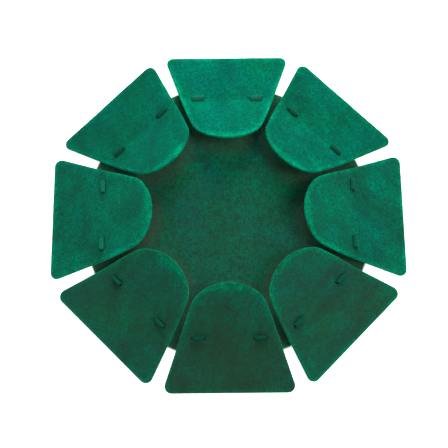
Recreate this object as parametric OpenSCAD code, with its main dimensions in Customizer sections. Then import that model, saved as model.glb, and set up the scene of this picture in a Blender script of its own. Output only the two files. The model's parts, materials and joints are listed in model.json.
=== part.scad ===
// All-direction practice putting cup: a flat base plate carrying eight hinged sheet-metal petals.
// Frame: millimetres, +Z up, origin on the floor under the centre of the base plate.
// Petal directions are named as seen by someone facing +Y, so "right" is +X and "rear" is +Y.
// A petal is drawn along +X: u is the distance from the centre and v is the distance from its middle line.

/* [Sheet] */
// Thickness of the petals and the base plate, steel sheet and flock together
sheet_t = 1.2; // [1.0:0.1:1.4]

/* [Petals] */
// Distance from the centre to the straight outer edge of each petal
outer_u = 90; // [86:1:100]
// Half the width of a petal at its outer edge, before its corners are rounded
outer_half_w = 33.3; // [30:0.1:35]
// Rounding of the two outer corners
corner_r = 3.4; // [1:0.2:8]
// Distance from the centre to the crease, which is the hinge line
crease_u = 63.4; // [62:0.2:65]
// Height of the crease's underside above the floor
crease_z = 4.95; // [4.6:0.05:5.4]
// Inside radius of the bend at the crease
crease_r = 8; // [2:1:20]
// Slope of the tongue at rest
tongue_slope = 20.5; // [18:0.5:24]

/* [Tongues] */
// Distance from the centre to the end of the tongue
tip_u = 38; // [36:0.5:42]
// Distance from the centre to the place where the tongue's sides start to turn in
neck_u = 53.8; // [52:0.2:56]
// Half the width of the tongue at that place
neck_half_w = 20.95; // [20:0.05:21.2]
// Angle of the tongue's sides to its middle line
side_angle = 22.5; // [20:0.5:24]
// Radius of the tongue's end
tip_r = 24.8; // [23:0.2:26]
// Radius of the tongue's two shoulders
shoulder_r = 11; // [9:0.5:13]
// Length of the lip at the end of the tongue
lip_len = 5; // [3:0.5:7]
// Angle that the lip curls up by
lip_angle = 12; // [4:1:16]

/* [Base plate] */
// Radius of the base plate
base_r = 73.2; // [70:0.2:76]

/* [Hinges] */
// Thickness of a hinge tab, steel sheet alone
tab_t = 0.8; // [0.6:0.1:0.9]
// Distance from a petal's middle line to the middle of each hinge tab
tab_v = 15.3; // [13:0.1:16.5]
// Width of a tab where it passes through its slit
neck_w = 6; // [5:0.2:6.4]
// Width of a tab below its slit, where the petal rocks on its shoulders
tab_w = 8.5; // [8:0.2:9]
// Space between the shoulders and the underside of the crease
rock_gap = 0.25; // [0.2:0.05:0.4]
// Length of a slit along the crease
slit_len = 7; // [6.8:0.2:7.4]
// Width of a slit, half of it on each side of the hinge line
slit_w = 2.1; // [1.9:0.1:2.4]
// Angle that the head of a tab is bent outwards by, counted from upright
head_angle = 72; // [66:1:72]
// Length of the flat part of the head
head_len = 1.1; // [0.9:0.1:1.6]
// Height where the bend of the head starts
head_z = 6.55; // [6.5:0.05:6.8]
// Space left round a tab's cut-out in the base plate
window_gap = 0.4; // [0.2:0.1:0.6]
// Length of a tab's cut-out in the base plate, towards the centre
window_len = 8.2; // [8:0.2:10]

/* [Hidden] */
DIRECTIONS = ["right", "rear_right", "rear", "rear_left", "left", "front_left", "front", "front_right"];
PETALS = [for (d = DIRECTIONS) str("petal_", d)];

green = [0.05, 0.42, 0.32];
dark_green = [0.09, 0.33, 0.26];

pitch = 360 / len(PETALS);
crease = [crease_u, crease_z];
outer_slope = atan(crease_z / (outer_u - crease_u));
slit_slope = (outer_slope + tongue_slope) / 2;
neck = [neck_u, neck_half_w];
over = 1;
arc_steps = 5;
tip_steps = 8;
base_facets = 180;

// A point of a circle, and the points of an arc of it
function on_circle(c, r, a) = c + r * [cos(a), sin(a)];
function arc(c, r, a0, a1, n) = [for (i = [0 : n]) on_circle(c, r, a0 + (a1 - a0) * i / n)];

function unit(p) = p / norm(p);
function turn(a) = a > 180 ? a - 360 : a < -180 ? a + 360 : a;

// The arc of radius r that rounds the corner at p, between the sides towards a and b
function rounded(a, p, b, r, n) =
    let (to_a = unit(a - p),
         to_b = unit(b - p),
         half = acos(to_a * to_b) / 2,
         c = p + unit(to_a + to_b) * r / sin(half),
         from = p + to_a * r / tan(half) - c,
         to = p + to_b * r / tan(half) - c,
         a0 = atan2(from.y, from.x))
    arc(c, r, a0, a0 + turn(atan2(to.y, to.x) - a0), n);

// Direction along the sheet towards the centre, and its upward normal, where it rises inwards by a
function inward(a) = [-cos(a), sin(a)];
function upward(a) = [sin(a), cos(a)];

// One half of a petal's outline in plan, from the outer edge to the end of the tongue
function half_outline() =
    let (side_dir = [-cos(side_angle), -sin(side_angle)],
         side_in = [sin(side_angle), -cos(side_angle)],
         tip_c = [tip_u + tip_r, 0],
         to_neck = neck + shoulder_r * side_in - tip_c,
         b = to_neck * side_dir,
         s = sqrt(b * b - to_neck * to_neck + (tip_r - shoulder_r) ^ 2) - b,
         shoulder_c = tip_c + to_neck + s * side_dir,
         meet = atan2(shoulder_c.y, shoulder_c.x - tip_c.x),
         corner = [outer_u, outer_half_w])
    concat(
        rounded([outer_u, 0], corner, neck, corner_r, arc_steps),
        [neck],
        arc(shoulder_c, shoulder_r, side_angle + 90, meet, arc_steps),
        [for (i = [1 : tip_steps]) on_circle(tip_c, tip_r, meet + (180 - meet) * i / tip_steps)]
    );

// Side view of the sheet: the bend at the crease, the tongue and the lip curling up at its end
module petal_profile() {
    bend = tongue_slope - outer_slope;
    fold = upward(slit_slope) * sheet_t / cos(bend / 2);
    outer_end = crease - inward(outer_slope) * (outer_u - crease_u + 2 * over);
    lip_start = crease + inward(tongue_slope) * ((crease_u - tip_u) / cos(tongue_slope) - lip_len);
    lip_r = lip_len / lip_angle * 180 / PI;
    lip_c = lip_start + upward(tongue_slope) * (lip_r + sheet_t);
    lip_a = 270 - tongue_slope;
    lip_end_a = lip_a - lip_angle * (lip_len + over) / lip_len;
    under = concat(
        [outer_end],
        rounded(outer_end, crease, lip_start, crease_r + sheet_t, arc_steps),
        arc(lip_c, lip_r + sheet_t, lip_a, lip_end_a, arc_steps)
    );
    top_end = outer_end + upward(outer_slope) * sheet_t;
    top_lip = lip_start + upward(tongue_slope) * sheet_t;
    top = concat(
        [top_end],
        rounded(top_end, crease + fold, top_lip, crease_r, arc_steps),
        arc(lip_c, lip_r, lip_a, lip_end_a, arc_steps)
    );
    polygon(concat(under, [for (i = [len(top) - 1 : -1 : 0]) top[i]]));
}

// Extrudes a side view, drawn in u and z, to a width of w across the petal
module across(w) {
    rotate([90, 0, 0]) linear_extrude(w, center = true) children();
}

module slit() {
    translate([crease_u, 0, crease_z])
        rotate([0, slit_slope, 0])
        cube([slit_w, slit_len, 6 * sheet_t], center = true);
}

module petal(i) {
    half = half_outline();
    outline = concat(half, [for (k = [len(half) - 2 : -1 : 0]) [half[k].x, -half[k].y]]);
    color(green)
        rotate([0, 0, pitch * i])
        difference() {
            intersection() {
                linear_extrude(outer_u) polygon(outline);
                across(3 * outer_half_w) petal_profile();
            }
            for (side = [-1, 1]) translate([0, side * tab_v, 0]) slit();
        }
}

// Side view of a hinge tab: the bend at its root, the upright part, and the head bent outwards
module tab_profile() {
    inner_u = crease_u - tab_t / 2;
    outer_face = crease_u + tab_t / 2;
    root_r = 1;
    head_r = 0.4;
    head_c = [outer_face + head_r, head_z];
    head_dir = [sin(head_angle), cos(head_angle)];
    under_head = arc(head_c, head_r, 180, 180 - head_angle, arc_steps);
    over_head = arc(head_c, head_r + tab_t, 180 - head_angle, 180, arc_steps);
    polygon(concat(
        arc([inner_u + root_r, root_r], root_r, 180, 270, arc_steps),
        [[outer_face + over, 0], [outer_face + over, sheet_t], [outer_face, sheet_t]],
        under_head,
        [under_head[arc_steps] + head_len * head_dir, over_head[0] + head_len * head_dir],
        over_head
    ));
}

module hinge_tab() {
    shoulder_z = crease_z - rock_gap;
    intersection() {
        across(tab_w) tab_profile();
        union() {
            translate([crease_u, 0, shoulder_z / 2]) cube([4 * over, tab_w, shoulder_z], center = true);
            translate([crease_u, 0, head_z / 2 + over])
                cube([3 * window_len, neck_w, head_z + 4 * over], center = true);
        }
    }
}

// A hole through the base plate from u towards the centre
module cut(u, length, width) {
    translate([u - length, -width / 2, -over]) cube([length, width, sheet_t + 2 * over]);
}

// The hole that a tab leaves in the base plate, wide for its shoulders and narrow for its neck and head
module window() {
    inner_u = crease_u - tab_t / 2;
    cut(inner_u, crease_z - rock_gap, tab_w + 2 * window_gap);
    cut(inner_u, window_len, neck_w + 2 * window_gap);
    for (side = [-1, 1])
        translate([crease_u, side * (tab_w + window_gap) / 2, sheet_t / 2])
            cube([tab_t + 2 * window_gap, window_gap, sheet_t + 2 * over], center = true);
}

// Repeats its children at each hinge tab's place
module at_tabs() {
    for (i = [0 : len(PETALS) - 1], side = [-1, 1])
        rotate([0, 0, pitch * i]) translate([0, side * tab_v, 0]) children();
}

module base_plate() {
    color(dark_green) {
        difference() {
            cylinder(sheet_t, r = base_r, $fn = base_facets);
            at_tabs() window();
        }
        at_tabs() hinge_tab();
    }
}

base_plate();
for (i = [0 : len(PETALS) - 1]) petal(i);
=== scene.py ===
"""All-direction putting cup: a flocked sheet-metal base plate with eight hinged, flocked petals."""
import json
import math

import bpy
import numpy as np
from mathutils import Matrix, Vector, noise
from mathutils.geometry import delaunay_2d_cdt


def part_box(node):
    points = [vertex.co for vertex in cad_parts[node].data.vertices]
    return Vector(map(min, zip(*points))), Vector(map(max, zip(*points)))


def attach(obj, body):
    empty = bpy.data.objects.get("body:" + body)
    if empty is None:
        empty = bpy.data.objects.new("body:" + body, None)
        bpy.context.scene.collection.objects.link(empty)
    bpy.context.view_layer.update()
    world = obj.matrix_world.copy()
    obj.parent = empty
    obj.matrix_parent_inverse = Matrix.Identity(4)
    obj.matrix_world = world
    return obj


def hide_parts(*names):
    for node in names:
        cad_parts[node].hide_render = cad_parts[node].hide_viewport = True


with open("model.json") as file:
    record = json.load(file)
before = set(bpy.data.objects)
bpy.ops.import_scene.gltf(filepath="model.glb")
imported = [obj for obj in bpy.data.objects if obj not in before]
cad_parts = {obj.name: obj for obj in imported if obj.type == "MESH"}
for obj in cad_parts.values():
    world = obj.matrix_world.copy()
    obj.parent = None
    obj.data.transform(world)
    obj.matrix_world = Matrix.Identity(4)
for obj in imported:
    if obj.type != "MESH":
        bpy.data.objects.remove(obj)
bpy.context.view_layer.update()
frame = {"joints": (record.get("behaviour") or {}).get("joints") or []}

# Lengths are in millimetres where a comment doesn't say metres, and meshes are made in metres by this factor.
MM = 0.001

# A petal is worked out along +X, with u the distance from the centre and v the distance from its middle line.
petal_low, petal_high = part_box("petal_right")
OUTER_U, TIP_U = petal_high.x / MM, petal_low.x / MM
hinges = {joint["child"]: joint for joint in frame["joints"]}
CREASE_U, _, CREASE_Z = (c / MM for c in hinges["petal_right"]["pos_m"])


def petal_angle(name):
    """Direction of a petal from the centre."""
    x, y, _ = hinges[name]["pos_m"]
    return math.atan2(y, x)


PETALS = sorted(hinges, key=lambda name: petal_angle(name) % math.tau)
SIDES = (-1, 1)

# The sheet, the petals' outline and the base plate, as in the CAD part.
SHEET_T, STEEL_T = 1.2, 0.8
OUTER_HALF_W, CORNER_R = 33.3, 3.4
NECK, SIDE_ANGLE = np.array([53.8, 20.95]), math.radians(22.5)
TONGUE_R, SHOULDER_R = 24.8, 11.0
TONGUE_SLOPE, CREASE_R = math.radians(20.5), 10.0
LIP_LEN, LIP_ANGLE = 5.0, math.radians(12)
BASE_R = 73.2

# The hinge tabs. ROOT_R is the radius of the middle of the sheet, and HEAD_R is that of its inside.
TAB_V, TAB_W, TAB_NECK_W = 15.3, 8.5, 6.0
ROOT_RUN, ROOT_R, SHOULDER_Z = 0.6, 0.6, 4.7
HEAD_Z, HEAD_ANGLE, HEAD_LEN, HEAD_R = 6.55, math.radians(72), 1.1, 0.4

# The tabs' slits in the petals and their windows in the base plate. A slit is square to the sheet, so that
# halfway through the sheet it lies SLIT_LEAN further out than the crease.
SLIT_LEN, SLIT_W, SLIT_LEAN = 7.0, 2.1, 0.17
WINDOW_LEN, WINDOW_GAP = 8.2, 0.4

# How round each kind of edge is, and how many steps round it.
PILE_EDGE_R, SLIT_EDGE_R, WINDOW_EDGE_R, TAB_EDGE_R, STEEL_EDGE_R = 0.5, 0.2, 0.16, 0.35, 0.2
EDGE_STEPS = 4

# Spacing of the meshes' points, and the sizes and heights of the waves in the flock's nap.
PETAL_SPACING, BASE_SPACING, TAB_SPACING, UNDERSIDE_SPACING = 0.62, 0.8, 0.4, 6.0
NAP_WAVES = ((0.75, 0.05), (2.6, 0.03), (17.0, 0.10))

# Width of the rim's painted highlight, partly splayed fibres, and of the brown painted shade beside each
# petal.
RIM_W, SHADE_W = 3.2, 7.0

# Linear colours of the flock: green and blue of its fibres seen end on, and the light caught by their sides.
FLOCK, FLOCK_SHEEN, FLOCK_SOFTNESS = (0.048, 0.0275), (0.0, 0.43, 0.27), 0.6

# Each piece's flock: how light and how red it is, which on the petals is painted light and shade by the way
# each petal faces, the rear ones lighter and less red and the front ones darker and redder; how mottled it
# is;
# and how much lighter or darker its full paints it, which is painted light too.
FLOCK_LIGHT_AND_MOTTLE = {
    "base_plate": (1.2, 0.0082, 0.45, 0.5),
    "petal_right": (0.92, 0.0035, 0.9, -0.05),
    "petal_rear_right": (0.98, 0.0018, 0.9, 0.0),
    "petal_rear": (1.26, 0.0014, 0.7, -0.09),
    "petal_rear_left": (0.8, 0.0022, 0.9, 0.1),
    "petal_left": (1.05, 0.0033, 1.1, 0.08),
    "petal_front_left": (0.73, 0.008, 0.9, 0.22),
    "petal_front": (0.68, 0.0100, 0.9, 0.3),
    "petal_front_right": (0.75, 0.009, 0.9, 0.13),
}

# Linear colours of the tabs, the brown painted shade beside the petals, the painted underside and the stray
# flock on it.
TAB_GREEN, TAB_BROWN = (0.006, 0.082, 0.050), (0.010, 0.056, 0.036)
SHADE_BROWN = (0.044, 0.027, 0.021)
ENAMEL, DRIFT_GREEN = (0.006, 0.030, 0.020), (0.005, 0.062, 0.035)


def smooth(x):
    """0 below 0, 1 above 1 and a smooth step between them."""
    x = np.clip(x, 0, 1)
    return x * x * (3 - 2 * x)


def in_plan(points, angle):
    """Points in plan, turned about the cup's axis."""
    c, s = math.cos(angle), math.sin(angle)
    return points @ np.array([[c, s], [-s, c]])


# ---- outlines in plan ----


def arc(centre, radius, start, end, steps):
    """Points of an arc, from one angle to another."""
    angles = np.linspace(start, end, steps + 1)
    return np.column_stack([centre[0] + radius * np.cos(angles), centre[1] + radius * np.sin(angles)])


def rounded(corners, radii, steps=6):
    """A closed outline through the corners, each rounded by its radius with steps + 1 points."""
    points, n = [], len(corners)
    for i, corner in enumerate(corners):
        before, after = corners[i - 1] - corner, corners[(i + 1) % n] - corner
        before, after = before / np.linalg.norm(before), after / np.linalg.norm(after)
        half = math.acos(np.clip(before @ after, -1, 1)) / 2
        middle = (before + after) / np.linalg.norm(before + after)
        centre = corner + middle * radii[i] / math.sin(half)
        first = corner + before * radii[i] / math.tan(half) - centre
        last = corner + after * radii[i] / math.tan(half) - centre
        start = math.atan2(first[1], first[0])
        sweep = (math.atan2(last[1], last[0]) - start + math.pi) % math.tau - math.pi
        points.append(arc(centre, radii[i], start, start + sweep, steps))
    return np.concatenate(points)


def evenly(points, spacing):
    """A closed outline's points again, about one spacing apart."""
    closed = np.vstack([points, points[:1]])
    along = np.concatenate([[0], np.cumsum(np.linalg.norm(np.diff(closed, axis=0), axis=1))])
    at = np.linspace(0, along[-1], max(12, round(along[-1] / spacing)) + 1)[:-1]
    return np.column_stack([np.interp(at, along, closed[:, k]) for k in range(2)])


def petal_outline():
    """Anticlockwise: outer edge, long side, shoulder, round end of the tongue, and back."""
    side = np.array([-math.cos(SIDE_ANGLE), -math.sin(SIDE_ANGLE)])
    into = np.array([math.sin(SIDE_ANGLE), -math.cos(SIDE_ANGLE)])
    tongue_c = np.array([TIP_U + TONGUE_R, 0])
    # The shoulder touches the side, and its centre is as far from the tongue's as their radii differ.
    to_neck = NECK + SHOULDER_R * into - tongue_c
    b = to_neck @ side
    run = math.sqrt(b * b - to_neck @ to_neck + (TONGUE_R - SHOULDER_R) ** 2) - b
    shoulder_c = tongue_c + to_neck + run * side
    meet = math.atan2(shoulder_c[1], shoulder_c[0] - tongue_c[0])
    edge, corner = np.array([OUTER_U, 0.0]), np.array([OUTER_U, OUTER_HALF_W])
    each = 7
    half = np.concatenate(
        [
            rounded([edge, corner, NECK], [CORNER_R] * 3, each - 1)[each : 2 * each],
            NECK[None],
            arc(shoulder_c, SHOULDER_R, SIDE_ANGLE + math.pi / 2, meet, 12),
            arc(tongue_c, TONGUE_R, meet, math.pi, 30)[1:],
        ]
    )
    return np.concatenate([half, half[-2::-1] * [1, -1]])


def slit_outline(side):
    """The slit for a hinge tab, clockwise, as the sheet lies outside it."""
    u, v, w, h = CREASE_U + SLIT_LEAN, side * TAB_V, SLIT_W / 2, SLIT_LEN / 2
    corners = np.array([[u - w, v - h], [u - w, v + h], [u + w, v + h], [u + w, v - h]])
    return rounded(corners, [0.5] * 4)


def window_outline(side):
    """The hole that a hinge tab leaves in the base plate, clockwise."""
    inner, notch = CREASE_U - STEEL_T / 2, CREASE_U + STEEL_T / 2 + WINDOW_GAP
    far, step = inner - WINDOW_LEN, inner - SHOULDER_Z
    narrow, half, wide = TAB_NECK_W / 2 + WINDOW_GAP, TAB_W / 2, TAB_W / 2 + WINDOW_GAP
    above = [(far, narrow), (step, narrow), (step, wide), (notch, wide), (notch, half), (inner, half)]
    corners = above + [(u, -v) for u, v in reversed(above)]
    radii = [0.5, 0.3, 0.5, 0.18, 0.18, 0.25]
    radii += reversed(radii)
    return rounded(np.array(corners), radii) + [0, side * TAB_V]


# ---- meshes of sheet ----


def offset(loop, distance):
    """The loop moved into the sheet, which lies on its left."""
    along = np.roll(loop, -1, axis=0) - np.roll(loop, 1, axis=0)
    along /= np.linalg.norm(along, axis=1)[:, None]
    return loop + distance * np.column_stack([-along[:, 1], along[:, 0]])


def inside(points, loops):
    """Which points the loops hold, by counting crossings."""
    held = np.zeros(len(points), bool)
    x, y = points[:, 0], points[:, 1]
    for loop in loops:
        for (ax, ay), (bx, by) in zip(loop, np.roll(loop, -1, axis=0)):
            if ay != by:
                held ^= ((ay > y) != (by > y)) & (x < (bx - ax) * (y - ay) / (by - ay) + ax)
    return held


def to_edge(points, loops):
    """Each point's distance to the nearest of the loops' points."""
    nearest = np.full(len(points), np.inf)
    for corner in np.concatenate(loops):
        nearest = np.minimum(nearest, (points[:, 0] - corner[0]) ** 2 + (points[:, 1] - corner[1]) ** 2)
    return np.sqrt(nearest)


def filled(loops, spacing):
    """Points and triangles that fill the loops, whose own points come first and stay as they are."""
    rim = np.concatenate(loops)
    low, high = rim.min(0), rim.max(0)
    rows = []
    for i, y in enumerate(np.arange(low[1], high[1], spacing * math.sqrt(3) / 2)):
        row = np.arange(low[0] + (i % 2) * spacing / 2, high[0], spacing)
        rows.append(np.column_stack([row, np.full(len(row), y)]))
    grid = np.concatenate(rows)
    grid = grid[inside(grid, loops)]
    grid = grid[to_edge(grid, loops) > spacing * 0.6]
    points = np.concatenate([rim, grid])
    edges, start = [], 0
    for loop in loops:
        n = len(loop)
        edges += [(start + k, start + (k + 1) % n) for k in range(n)]
        start += n
    _, _, faces, origin, _, _ = delaunay_2d_cdt([Vector(p) for p in points], edges, [], 0, 1e-7, True)
    faces = np.array([[origin[v][0] for v in face] for face in faces])
    return points, faces[inside(points[faces].mean(1), loops)]


def give(mesh, name, values):
    """Gives each point of a mesh a value that a material can read."""
    mesh.attributes.new(name, "FLOAT", "POINT").data.foreach_set("value", values.astype(np.float32))


def plan_of(mesh):
    """Places of a mesh's points in plan."""
    return np.array([vertex.co[:2] for vertex in mesh.vertices]) / MM


def sheet_mesh(
    name, loops, edge_radii, spacing, top_at, bottom_at, under_spacing=UNDERSIDE_SPACING, rim_at=None
):
    """A closed mesh of sheet between two surfaces. top_at and bottom_at give the 3D points for points in
    plan. Every loop has the sheet on its left, and its top edge is rounded by its radius. Material 0 is the
    flocked top and edges and material 1 is the underside. The value "rim" is 1 on the outer edge and fades
    to 0 inwards, and rim_at adds to it."""
    faces, plan, top_share, materials = [], [], [], []

    def add(p2, share):
        first = len(plan)
        plan.extend(p2)
        top_share.extend(share)
        return first

    # Each loop's rings go up the wall from the bottom face and round over the top edge.
    inner_top, inner_bottom, top_starts, bottom_starts = [], [], [], []
    for loop, radius in zip(loops, edge_radii):
        n = len(loop)
        under_r = STEEL_EDGE_R * min(1, radius / PILE_EDGE_R)
        rings = [(under_r, 0.0), (0.0, under_r)]
        for k in range(EDGE_STEPS + 1):
            a = math.pi / 2 * k / EDGE_STEPS
            rings.append((radius * (1 - math.cos(a)), SHEET_T - radius * (1 - math.sin(a))))
        starts = [add(offset(loop, inset), [height / SHEET_T] * n) for inset, height in rings]
        for k, (a, b) in enumerate(zip(starts, starts[1:])):
            for i in range(n):
                j = (i + 1) % n
                faces.append((a + i, a + j, b + j, b + i))
                materials.append(1 if k == 0 else 0)
        inner_bottom.append(offset(loop, under_r))
        inner_top.append(offset(loop, radius))
        bottom_starts.append(starts[0])
        top_starts.append(starts[-1])

    for inner, starts, share, step, material, flip in (
        (inner_top, top_starts, 1.0, spacing, 0, False),
        (inner_bottom, bottom_starts, 0.0, under_spacing, 1, True),
    ):
        fill, triangles = filled(inner, step)
        rim_count = sum(len(loop) for loop in inner)
        ids = []
        for loop, start in zip(inner, starts):
            ids += range(start, start + len(loop))
        first = add(fill[rim_count:], [share] * (len(fill) - rim_count))
        ids += range(first, first + len(fill) - rim_count)
        ids = np.array(ids)
        for t in triangles:
            a, b, c = fill[t]
            up = (b[0] - a[0]) * (c[1] - a[1]) - (b[1] - a[1]) * (c[0] - a[0]) > 0
            t = ids[t] if up != flip else ids[t[::-1]]
            faces.append(tuple(int(x) for x in t))
            materials.append(material)

    plan, top_share = np.array(plan), np.array(top_share)[:, None]
    high, low = top_at(plan), bottom_at(plan)
    points = low + (high - low) * top_share
    mesh = bpy.data.meshes.new(name)
    mesh.from_pydata((points * MM).tolist(), [], faces)
    mesh.polygons.foreach_set("material_index", materials)
    mesh.polygons.foreach_set("use_smooth", [True] * len(faces))
    rim = 1 - smooth(to_edge(plan, loops[:1]) / RIM_W)
    give(mesh, "rim", rim + rim_at(plan) if rim_at else rim)
    mesh.update()
    return mesh


def nap(mesh, seed):
    """Raises and lowers the flocked side of a mesh by the waves of its nap."""
    count = len(mesh.vertices)
    co, no = np.empty(count * 3, np.float32), np.empty(count * 3, np.float32)
    mesh.vertices.foreach_get("co", co)
    mesh.vertex_normals.foreach_get("vector", no)
    co, no = co.reshape(-1, 3), no.reshape(-1, 3)
    flocked = np.zeros(count, bool)
    # The underside comes second, because the points that it shares with the flocked edges stay in place.
    for material in (0, 1):
        for polygon in mesh.polygons:
            if polygon.material_index == material:
                flocked[list(polygon.vertices)] = material == 0
    shift = Vector((seed * 31.7, seed * 17.3, seed * 5.1))
    rise = np.zeros(count)
    for i in np.flatnonzero(flocked):
        at = Vector(co[i]) / MM
        rise[i] = sum(height * noise.noise(at / size + shift) for size, height in NAP_WAVES)
    co += (rise * MM)[:, None] * no
    mesh.vertices.foreach_set("co", co.ravel())
    mesh.update()


def turned(mesh, name, angle):
    """A copy of a mesh, turned about the cup's axis."""
    copy = mesh.copy()
    copy.name = name
    copy.transform(Matrix.Rotation(angle, 4, "Z"))
    return copy


# ---- the petals' side view ----


def underside_z(u):
    """Height of a petal's underside: outer part, rounded crease, tongue, and lip curling up at the end."""
    outer = (OUTER_U - u) * CREASE_Z / (OUTER_U - CREASE_U)
    tongue = CREASE_Z + (CREASE_U - u) * math.tan(TONGUE_SLOPE)
    fold = math.tan(TONGUE_SLOPE) - CREASE_Z / (OUTER_U - CREASE_U)
    blend = fold**2 * CREASE_R / 4
    z = (outer + tongue) / 2 + np.sqrt((outer - tongue) ** 2 / 4 + blend**2)
    lip_r = LIP_LEN / LIP_ANGLE
    lip_u = CREASE_U - ((CREASE_U - TIP_U) / math.cos(TONGUE_SLOPE) - LIP_LEN) * math.cos(TONGUE_SLOPE)
    x = np.clip((lip_u - u) / math.cos(TONGUE_SLOPE), 0, None)
    return z + (lip_r - np.sqrt(lip_r**2 - x**2)) / math.cos(TONGUE_SLOPE)


def petal_bottom(plan):
    return np.column_stack([plan, underside_z(plan[:, 0])])


def petal_top(plan):
    u, step = plan[:, 0], 0.05
    slope = (underside_z(u + step) - underside_z(u - step)) / (2 * step)
    return np.column_stack([plan, underside_z(u) + SHEET_T * np.sqrt(1 + slope**2)])


def lip_highlight(plan):
    """How much of the rim's painted highlight the lip at the end of a tongue takes on."""
    from_tip = np.hypot(plan[:, 0], 0.75 * plan[:, 1]) - TIP_U
    return smooth((1.2 * LIP_LEN - from_tip) / LIP_LEN)


# ---- the hinge tabs ----


def tab_legs():
    """The middle of a tab's sheet, from inside the plate to past the end of its head: each leg's length, and
    an arc's centre, radius, and first and last angle in degrees."""
    head_r = HEAD_R + STEEL_T / 2
    root_c = np.array([CREASE_U + ROOT_R, STEEL_T / 2 + ROOT_R])
    head_c = np.array([CREASE_U + head_r, HEAD_Z])
    return [
        (ROOT_RUN, None),
        (ROOT_R * math.pi / 2, (root_c, ROOT_R, -90, -180)),
        (HEAD_Z - STEEL_T / 2 - ROOT_R, None),
        (head_r * HEAD_ANGLE, (head_c, head_r, 180, 180 - math.degrees(HEAD_ANGLE))),
        (HEAD_LEN + 1, None),
    ]


def tab_path(s):
    """The point of a tab's middle at a distance s along it, and the direction across the sheet there."""
    at, heading = np.array([CREASE_U + ROOT_R + ROOT_RUN, STEEL_T / 2]), np.array([-1.0, 0.0])
    for length, circle in tab_legs():
        run = min(s, length)
        if circle:
            centre, radius, start, end = circle
            a = math.radians(start + (end - start) * run / length)
            at = centre + radius * np.array([math.cos(a), math.sin(a)])
            heading = np.array([math.sin(a), -math.cos(a)])
        else:
            at = at + heading * run
        s -= run
        if s <= 0:
            break
    return at, np.array([-heading[1], heading[0]])


def tab_outline():
    """The tab unfolded: s along it and v across it, with shoulders, a neck and the head's round corners."""
    upright = ROOT_RUN + ROOT_R * math.pi / 2
    shoulder = upright + SHOULDER_Z - STEEL_T / 2 - ROOT_R
    end = upright + HEAD_Z - STEEL_T / 2 - ROOT_R + (HEAD_R + STEEL_T / 2) * HEAD_ANGLE + HEAD_LEN
    w, n = TAB_W / 2, TAB_NECK_W / 2
    below = [(0, -w), (shoulder, -w), (shoulder, -n), (end, -n)]
    corners = below + [(s, -v) for s, v in reversed(below)]
    return rounded(np.array(corners), [0.1, 0.3, 0.3, 0.9, 0.9, 0.3, 0.3, 0.1])


def tab_side(plan, across):
    """The 3D points of one side of a tab, at a distance across the sheet from its middle."""
    out = np.empty((len(plan), 3))
    for i, (s, v) in enumerate(plan):
        at, normal = tab_path(s)
        out[i] = (at[0] + across * normal[0], v, at[1] + across * normal[1])
    return out


# ---- material nodes ----


def nodes_of(name):
    """A new material, its node tree and its shader."""
    material = bpy.data.materials.new(name)
    material.use_nodes = True
    tree = material.node_tree
    return material, tree, tree.nodes["Principled BSDF"]


def noise_node(tree, size, seed, detail=2.0, roughness=0.55, streak=1.0):
    """A noise texture whose features are size millimetres wide, and streak times as long in one direction."""
    where = tree.nodes.new("ShaderNodeTexCoord")
    node = tree.nodes.new("ShaderNodeTexNoise")
    node.noise_dimensions = "4D"
    node.inputs["W"].default_value = seed
    node.inputs["Scale"].default_value = 1 / (size * MM)
    node.inputs["Detail"].default_value = detail
    node.inputs["Roughness"].default_value = roughness
    if streak == 1:
        tree.links.new(where.outputs["Object"], node.inputs["Vector"])
    else:
        brushed = tree.nodes.new("ShaderNodeMapping")
        brushed.vector_type = "TEXTURE"
        brushed.inputs["Scale"].default_value = (streak, 1, 1)
        brushed.inputs["Rotation"].default_value = (0, 0, 2.4 * seed)
        tree.links.new(where.outputs["Object"], brushed.inputs["Vector"])
        tree.links.new(brushed.outputs[0], node.inputs["Vector"])
    return node.outputs["Fac"]


def ranged(tree, value, low, high, to_low, to_high):
    """A value's range from low to high mapped to another range, and held to it."""
    node = tree.nodes.new("ShaderNodeMapRange")
    node.inputs["From Min"].default_value = low
    node.inputs["From Max"].default_value = high
    node.inputs["To Min"].default_value = to_low
    node.inputs["To Max"].default_value = to_high
    tree.links.new(value, node.inputs["Value"])
    return node.outputs["Result"]


def maths(tree, operation, a, b):
    node = tree.nodes.new("ShaderNodeMath")
    node.operation = operation
    tree.links.new(a, node.inputs[0])
    tree.links.new(b, node.inputs[1])
    return node.outputs[0]


def mixed(tree, share, a, b, blend="MIX"):
    """Two colours mixed. The share is a number or a link, and a colour is a tuple or a link."""
    node = tree.nodes.new("ShaderNodeMix")
    node.data_type, node.blend_type = "RGBA", blend
    for socket, value in ((node.inputs[0], share), (node.inputs[6], a), (node.inputs[7], b)):
        if isinstance(value, (int, float)):
            socket.default_value = value
        elif isinstance(value, tuple):
            socket.default_value = (*value, 1)
        else:
            tree.links.new(value, socket)
    return node.outputs[2]


def levelled(tree, colour, red, rest):
    """A colour with its red times one value and its green and blue times another."""
    level = tree.nodes.new("ShaderNodeCombineColor")
    for socket, value in zip(level.inputs, (red, rest, rest)):
        tree.links.new(value, socket)
    return mixed(tree, 1.0, colour, level.outputs[0], "MULTIPLY")


def attribute(tree, name):
    node = tree.nodes.new("ShaderNodeAttribute")
    node.attribute_name = name
    return node.outputs["Fac"]


def scaled(colour, k):
    return tuple(c * k for c in colour)


def bumpy(tree, shader, height, strength, depth):
    """Bump from a height texture, with its depth in millimetres."""
    bump = tree.nodes.new("ShaderNodeBump")
    bump.inputs["Strength"].default_value = strength
    bump.inputs["Distance"].default_value = depth * MM
    tree.links.new(height, bump.inputs["Height"])
    tree.links.new(bump.outputs[0], shader.inputs["Normal"])


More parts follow.
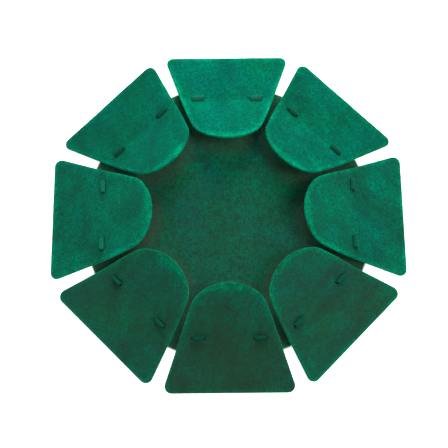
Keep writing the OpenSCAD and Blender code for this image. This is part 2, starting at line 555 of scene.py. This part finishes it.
def piled(shader, sheen):
    """Flock has no gloss: it shines only by the sides of its fibres."""
    shader.inputs["Specular IOR Level"].default_value = 0.0
    shader.inputs["Sheen Weight"].default_value = sheen
    shader.inputs["Sheen Roughness"].default_value = FLOCK_SOFTNESS
    shader.inputs["Sheen Tint"].default_value = (*FLOCK_SHEEN, 1)


# ---- materials ----


def flock(name, seed):
    """Short flock: fine grain, clumps, soft patches and brushed smears that are less red where they are
    lighter. Each piece is painted lighter or darker by the way it faces, and along its full. Its rim
    is lighter and leafier, partly where the fibres splay out and partly a painted highlight, and the ends
    of the tongues get a painted highlight. On the base plate a brown painted shade lies under and beside
    the petals."""
    material, tree, shader = nodes_of(name + "_flock")
    light_tone, red, mottle, light_gain = FLOCK_LIGHT_AND_MOTTLE[name]
    patchy, smeared = 0.4 * mottle, 0.35 * mottle
    strength = ranged(tree, noise_node(tree, 0.9, seed, 3, 0.7), 0.3, 0.7, 0.1, 1.9)
    for other in (
        ranged(tree, noise_node(tree, 2.4, seed + 3), 0.3, 0.7, 0.75, 1.25),
        ranged(tree, noise_node(tree, 15, seed + 7, 3), 0.32, 0.68, 1 - patchy, 1 + patchy),
        ranged(tree, noise_node(tree, 6, seed + 8, 3, streak=3.5), 0.32, 0.68, 1 - smeared, 1 + smeared),
        # Painted highlight, partly real splayed fibres: up to twice as light at the rim and at the tongues'
        # ends.
        ranged(tree, attribute(tree, "rim"), 0, 1, 1, 2),
        # Painted light and shade: lighter or darker along the full, by each piece's light_gain.
        ranged(tree, attribute(tree, "full"), 0, 1, 1 - light_gain, 1 + light_gain),
    ):
        strength = maths(tree, "MULTIPLY", strength, other)

    hue = ranged(tree, noise_node(tree, 22, seed + 11, 2), 0.35, 0.65, 0, 1)
    # Towards the rim the hue turns leafy, part of the same painted highlight.
    hue = maths(tree, "MULTIPLY", hue, ranged(tree, attribute(tree, "rim"), 0, 1, 1, 0))
    # Painted light and shade: the piece's whole flock lighter or darker by the way it faces.
    green, blue = FLOCK[0] * light_tone, FLOCK[1] * light_tone
    colour = mixed(tree, hue, (red, 1.08 * green, 0.8 * blue), (red, 0.95 * green, 1.15 * blue))
    fibres = levelled(tree, colour, ranged(tree, strength, 0.4, 2.0, 1.35, 0.2), strength)
    # Painted shade: under and beside the petals the flock is mixed, in grainy patches, towards dark brown.
    shade_grain = ranged(tree, noise_node(tree, 1.6, 31, 3, 0.7), 0.35, 0.65, 0.28, 0.68)
    shaded = maths(tree, "MULTIPLY", attribute(tree, "shade_strip"), shade_grain)
    tree.links.new(mixed(tree, shaded, fibres, SHADE_BROWN), shader.inputs["Base Color"])

    rough = ranged(tree, noise_node(tree, 1.2, seed + 5), 0.3, 0.7, 0.86, 1.0)
    tree.links.new(rough, shader.inputs["Roughness"])
    bumpy(tree, shader, noise_node(tree, 0.8, seed + 9, 3, 0.65), strength=0.9, depth=0.25)
    piled(shader, sheen=1.0)
    return material


def tab_coat(name):
    """Thin, flattened flock on a petal's hinge tabs, browner in places where the petal rubs it. Its lightness
    and sheen are painted light and shade, following its petal's light_tone squared.
    """
    material, tree, shader = nodes_of(name + "_tab_flock")
    # Painted light and shade: the rear petals' tabs lighter and the front ones darker.
    light_tone = FLOCK_LIGHT_AND_MOTTLE[name][0] ** 2
    worn = ranged(tree, noise_node(tree, 1.4, 3, 3, 0.65), 0.4, 0.65, 0, 0.8)
    coat = mixed(tree, worn, scaled(TAB_GREEN, light_tone), scaled(TAB_BROWN, light_tone))
    tree.links.new(coat, shader.inputs["Base Color"])
    rough = ranged(tree, noise_node(tree, 0.6, 9), 0.3, 0.7, 0.7, 1.0)
    tree.links.new(rough, shader.inputs["Roughness"])
    bumpy(tree, shader, noise_node(tree, 0.5, 12, 3), strength=0.6, depth=0.15)
    piled(shader, sheen=0.5 * light_tone)
    return material


def enamel():
    """The painted underside, with a little flock that drifted under the edges."""
    material, tree, shader = nodes_of("green_enamel")
    stray = ranged(tree, noise_node(tree, 0.7, 2, 3, 0.7), 0.45, 0.55, 0, 1)
    drift = maths(tree, "MULTIPLY", attribute(tree, "rim"), stray)
    cloud = ranged(tree, noise_node(tree, 9, 4, 4), 0.3, 0.7, 0.8, 1.2)
    paint = levelled(tree, ENAMEL, cloud, cloud)
    tree.links.new(mixed(tree, drift, paint, DRIFT_GREEN), shader.inputs["Base Color"])
    rough = ranged(tree, noise_node(tree, 1.5, 6, 4, 0.65), 0.3, 0.7, 0.30, 0.48)
    tree.links.new(maths(tree, "MAXIMUM", rough, drift), shader.inputs["Roughness"])
    bumpy(tree, shader, noise_node(tree, 0.8, 8, 2), strength=0.15, depth=0.05)
    return material


def floor_paint():
    """White, and lit from inside like a light table, except under the cup, where it is painted black as a
    painted shadow.
    """
    bright_r, faint_r, bright, faint = 0.11, 0.2, 0.95, 0.45  # the two radii are in metres
    painted_shadow, white = (0.02, 0.02, 0.02), (0.9, 0.9, 0.9)
    material, tree, shader = nodes_of("white_floor")
    where = tree.nodes.new("ShaderNodeTexCoord")
    distance = tree.nodes.new("ShaderNodeVectorMath")
    distance.operation = "LENGTH"
    tree.links.new(where.outputs["Object"], distance.inputs[0])
    beyond = ranged(tree, distance.outputs["Value"], BASE_R * MM, (BASE_R + 1) * MM, 0, 1)
    glow = ranged(tree, distance.outputs["Value"], bright_r, faint_r, bright, faint)
    tree.links.new(maths(tree, "MULTIPLY", glow, beyond), shader.inputs["Emission Strength"])
    # Painted shadow: black under the cup, where it gives no light.
    tree.links.new(mixed(tree, beyond, painted_shadow, white), shader.inputs["Base Color"])
    shader.inputs["Emission Color"].default_value = (1, 1, 1, 1)
    shader.inputs["Roughness"].default_value = 0.9
    return material


# ---- making the pieces ----


def show(name, mesh, materials, body, replaced=None):
    """Puts a mesh into the scene as a piece that rides on a body."""
    piece = bpy.data.objects.new(name, mesh)
    bpy.context.scene.collection.objects.link(piece)
    for material in materials:
        mesh.materials.append(material)
    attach(piece, body)
    if replaced:
        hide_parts(replaced)


def make_petals(paint):
    """Eight petals from one stamping, each with its own nap, and a full along the tongue by which each
    petal's tongue is painted lighter or darker than its outer part.
    """
    loops = [evenly(petal_outline(), 0.7)] + [evenly(slit_outline(side), 0.35) for side in SIDES]
    radii = [PILE_EDGE_R, SLIT_EDGE_R, SLIT_EDGE_R]
    stamped = sheet_mesh("petal", loops, radii, PETAL_SPACING, petal_top, petal_bottom, rim_at=lip_highlight)
    ramp = 20
    # Painted light and shade: the ramp rises from the crease along the tongue.
    give(stamped, "full", smooth((CREASE_U - plan_of(stamped)[:, 0]) / ramp))
    for i, name in enumerate(PETALS):
        mesh = turned(stamped, name + "_flocked", petal_angle(name))
        nap(mesh, i + 1)
        show(name + "_flocked", mesh, [flock(name, 10 + 13 * i), paint], name, name)


def make_base(paint):
    """The base plate with a window for each hinge tab. Under and beside the petals its flock is mixed towards
    dark brown, a painted shade. Its flock is painted lighter towards the rear, against the rear petals'
    shade."""
    circle = evenly(arc((0, 0), BASE_R, 0, math.tau, 720)[:-1], 0.7)
    windows = [
        in_plan(evenly(window_outline(side), 0.4), petal_angle(name)) for name in PETALS for side in SIDES
    ]
    radii = [PILE_EDGE_R] + [WINDOW_EDGE_R] * len(windows)
    mesh = sheet_mesh(
        "base_plate_flocked",
        [circle] + windows,
        radii,
        BASE_SPACING,
        lambda plan: np.column_stack([plan, np.full(len(plan), SHEET_T)]),
        lambda plan: np.column_stack([plan, np.zeros(len(plan))]),
    )
    plan = plan_of(mesh)
    shades = [in_plan(evenly(petal_outline(), 1.5), petal_angle(name)) for name in PETALS]
    away = np.where(sum(inside(plan, [shade]) for shade in shades), 0, to_edge(plan, shades))
    # Painted shade: full under each petal, fading out over SHADE_W beside it.
    give(mesh, "shade_strip", 1 - smooth(away / SHADE_W))
    # Painted light: the base plate's flock lighter towards the rear, against the shade of the rear petals.
    give(mesh, "full", 0.33 + 0.62 * np.clip((plan[:, 1] + 10) / 45, 0, 1) ** 1.6)
    nap(mesh, 20)
    show("base_plate_flocked", mesh, [flock("base_plate", 5), paint], "base", "base_plate")


def make_tabs():
    """Sixteen hinge tabs bent up out of the base plate."""
    loop, half = evenly(tab_outline(), 0.35), STEEL_T / 2
    one = sheet_mesh(
        "tab",
        [loop],
        [TAB_EDGE_R],
        TAB_SPACING,
        lambda plan: tab_side(plan, -half),
        lambda plan: tab_side(plan, half),
        under_spacing=0.5,
    )
    for name in PETALS:
        coat = tab_coat(name)
        for side, label in zip(SIDES, "ab"):
            mesh = one.copy()
            mesh.transform(Matrix.Translation((0, side * TAB_V * MM, 0)))
            mesh = turned(mesh, f"hinge_tab_{name[6:]}_{label}", petal_angle(name))
            show(mesh.name, mesh, [coat, coat], "base")


# ---- camera, floor and light ----


def make_camera():
    """A long lens, almost straight above: tilted back from upright, with a slight roll."""
    tilt, roll, distance = math.radians(17.44), math.radians(0.55), 542.6
    right, up = 2.1, 3.52  # how far the cup's centre lies from the middle of the view
    aim = Matrix.Rotation(roll, 3, "Z") @ Matrix.Rotation(-tilt, 3, "X")
    place = aim.transposed() @ (Vector((-right, -up, distance)) + aim @ Vector((0, 0, SHEET_T)))
    data = bpy.data.cameras.new("camera")
    data.sensor_width, data.lens = 36, 85.018
    data.clip_start, data.clip_end = 0.01, 20
    camera = bpy.data.objects.new("camera", data)
    camera.matrix_world = Matrix.Translation(place * MM) @ aim.transposed().to_4x4()
    bpy.context.scene.collection.objects.link(camera)
    bpy.context.scene.camera = camera


def make_floor():
    """A round white floor whose rim curves up into a wall, so that no view shows where it ends."""
    flat_r, bend_r, wall_top = 1.2, 0.3, 0.75  # in metres, as are all the points
    around, steps = 96, 12
    side = [(0.001, 0.0), (0.2, 0.0), (0.6, 0.0), (flat_r, 0.0)]
    for k in range(1, steps + 1):
        a = math.pi / 2 * k / steps
        side.append((flat_r + bend_r * math.sin(a), bend_r * (1 - math.cos(a))))
    side.append((flat_r + bend_r, wall_top))
    turns = [(math.cos(math.tau * i / around), math.sin(math.tau * i / around)) for i in range(around)]
    points = [(r * c, r * s, z) for r, z in side for c, s in turns]
    faces = [tuple(range(around))]
    for k in range(len(side) - 1):
        for i in range(around):
            j = (i + 1) % around
            faces.append((k * around + i, k * around + j, (k + 1) * around + j, (k + 1) * around + i))
    mesh = bpy.data.meshes.new("floor")
    mesh.from_pydata(points, [], faces)
    mesh.polygons.foreach_set("use_smooth", [True] * len(faces))
    mesh.materials.append(floor_paint())
    floor = bpy.data.objects.new("floor", mesh)
    floor.location.z = -0.02 * MM
    bpy.context.scene.collection.objects.link(floor)


def make_lamp(name, azimuth, elevation, distance, size, power):
    """A square soft box that looks at the middle of the cup. Angles are in degrees, and lengths in metres."""
    a, e = math.radians(azimuth), math.radians(elevation)
    data = bpy.data.lights.new(name, "AREA")
    data.size, data.energy = size, power
    lamp = bpy.data.objects.new(name, data)
    at = Vector((math.cos(a) * math.cos(e), math.sin(a) * math.cos(e), math.sin(e))) * distance
    lamp.matrix_world = Matrix.Translation(at) @ at.to_track_quat("Z", "Y").to_matrix().to_4x4()
    bpy.context.scene.collection.objects.link(lamp)


def make_light():
    """Plain studio light: a weak white surround, a key on the right and a low, wide lamp behind the cup."""
    world = bpy.data.worlds.new("studio")
    world.use_nodes = True
    background = world.node_tree.nodes["Background"]
    background.inputs["Color"].default_value = (1, 1, 1, 1)
    background.inputs["Strength"].default_value = 0.27
    bpy.context.scene.world = world
    make_lamp("key", azimuth=-18, elevation=54, distance=1.2, size=0.45, power=7.2)
    make_lamp("back", azimuth=84, elevation=28, distance=1.4, size=0.9, power=27.5)
    bpy.context.scene.view_settings.view_transform = "Standard"


make_camera()
make_floor()
make_light()
paint = enamel()
make_base(paint)
make_tabs()
make_petals(paint)
